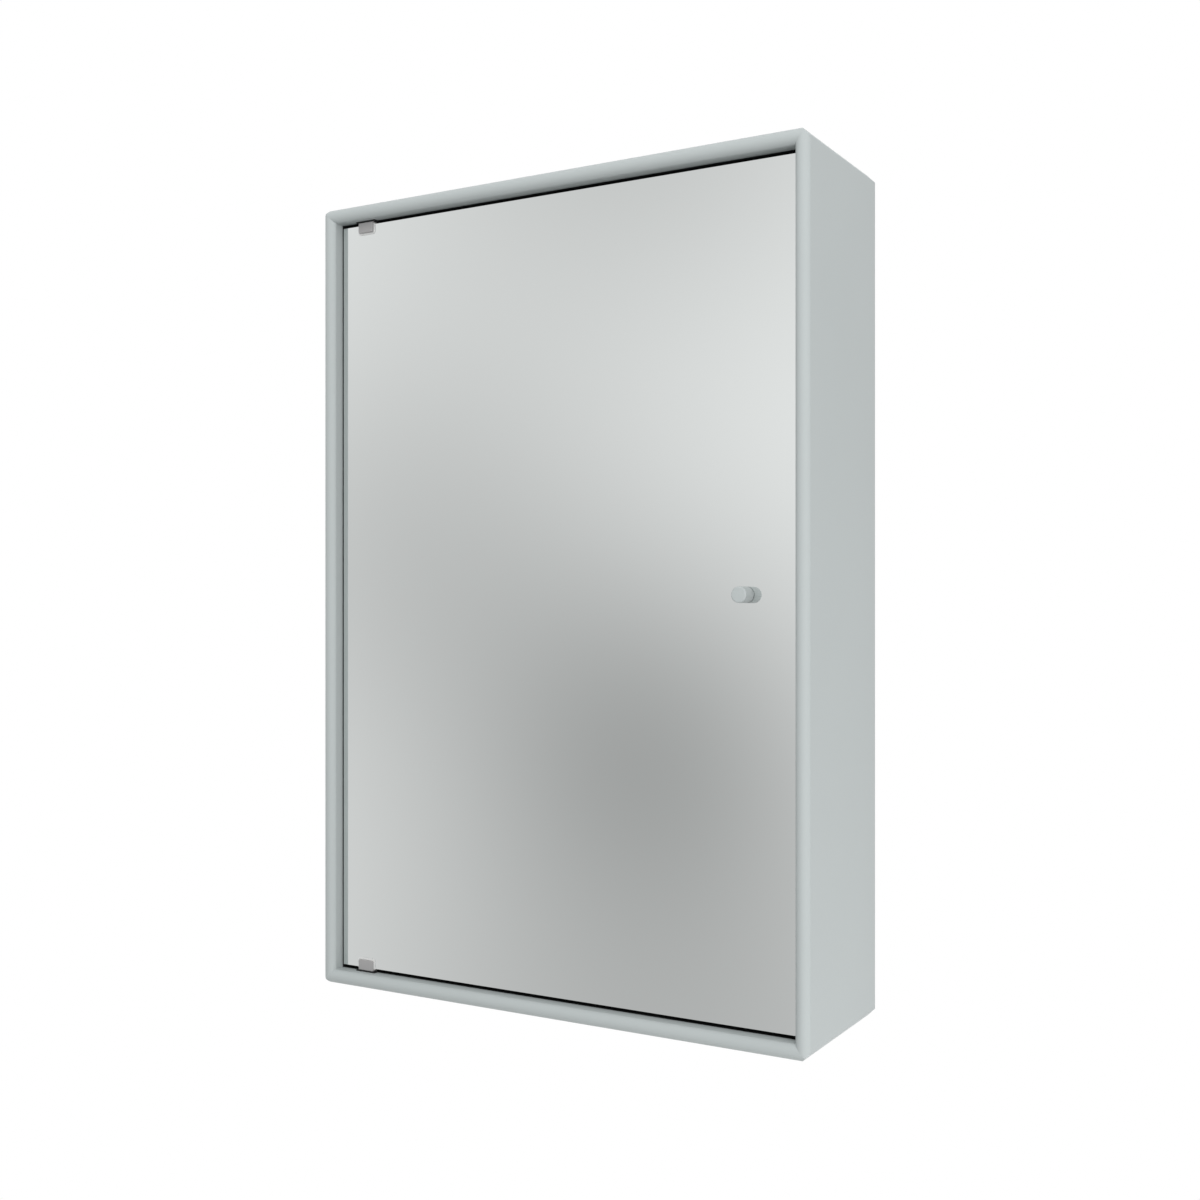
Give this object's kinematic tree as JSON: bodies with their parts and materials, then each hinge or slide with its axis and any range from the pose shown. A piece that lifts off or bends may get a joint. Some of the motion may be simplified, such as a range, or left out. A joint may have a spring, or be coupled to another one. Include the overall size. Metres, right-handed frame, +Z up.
{
  "type": "mirror cabinet",
  "caption": "Slim wall-hung mirror cabinet: mitred lacquered carcass with rounded front edges and an inset mirror door on pivot clamps, glass shelves behind it.",
  "frame": {"origin": "centre of the wall screw pattern, on the wall plane at the middle of the back panel", "axes": "+X to the right seen from the front, +Y into the wall, +Z up"},
  "size_m": [0.468, 0.1488, 0.696],
  "materials": {
    "lacquer": "pale grey-green satin lacquer on MDF",
    "beech": "plain beech",
    "zinc_steel": "zinc plated",
    "shelf_glass": "clear float glass, polished edges",
    "nickel": "nickel plated",
    "black_nylon": "moulded nylon",
    "grey_plastic": "moulded, fine texture",
    "ferrite": "ground ferrite",
    "mirror": "silvered float glass",
    "film": "safety film over the mirror's backing paint",
    "clamp_metal": "satin grey die casting",
    "liner_rubber": "pale translucent strip",
    "pin_steel": "turned steel",
    "knob_lacquer": "same lacquer as the carcass",
    "adhesive": "foam tape"
  },
  "bodies": {
    "carcass": {"top_panel": "lacquer", "bottom_panel": "lacquer", "left_side_panel": "lacquer", "right_side_panel": "lacquer", "corner_dowels": "beech", "back_panel": "lacquer", "back_panel_screws": "zinc_steel", "wall_fixing_washers": "zinc_steel", "lower_shelf": "shelf_glass", "upper_shelf": "shelf_glass", "shelf_supports": "nickel", "upper_pivot_bush": "black_nylon", "lower_pivot_bush": "black_nylon", "catch_housing": "grey_plastic", "catch_magnet": "ferrite", "catch_screws": "zinc_steel"},
    "door": {"mirror_glass": "mirror", "mirror_safety_film": "film", "upper_hinge_clamp": "clamp_metal", "lower_hinge_clamp": "clamp_metal", "upper_hinge_liner": "liner_rubber", "lower_hinge_liner": "liner_rubber", "upper_pivot_pin": "pin_steel", "lower_pivot_pin": "pin_steel", "hinge_set_screws": "pin_steel", "door_knob": "knob_lacquer", "knob_grommet": "grey_plastic", "knob_washer": "zinc_steel", "knob_screw": "zinc_steel", "strike_plate": "zinc_steel", "strike_adhesive_pad": "adhesive"}
  },
  "joints": [
    {"name": "door_hinge", "type": "hinge", "parent": "carcass", "child": "door", "pos_m": [-0.193, -0.1247, 0], "axis": [0, 0, -1], "range_deg": [0, 110]}
  ]
}
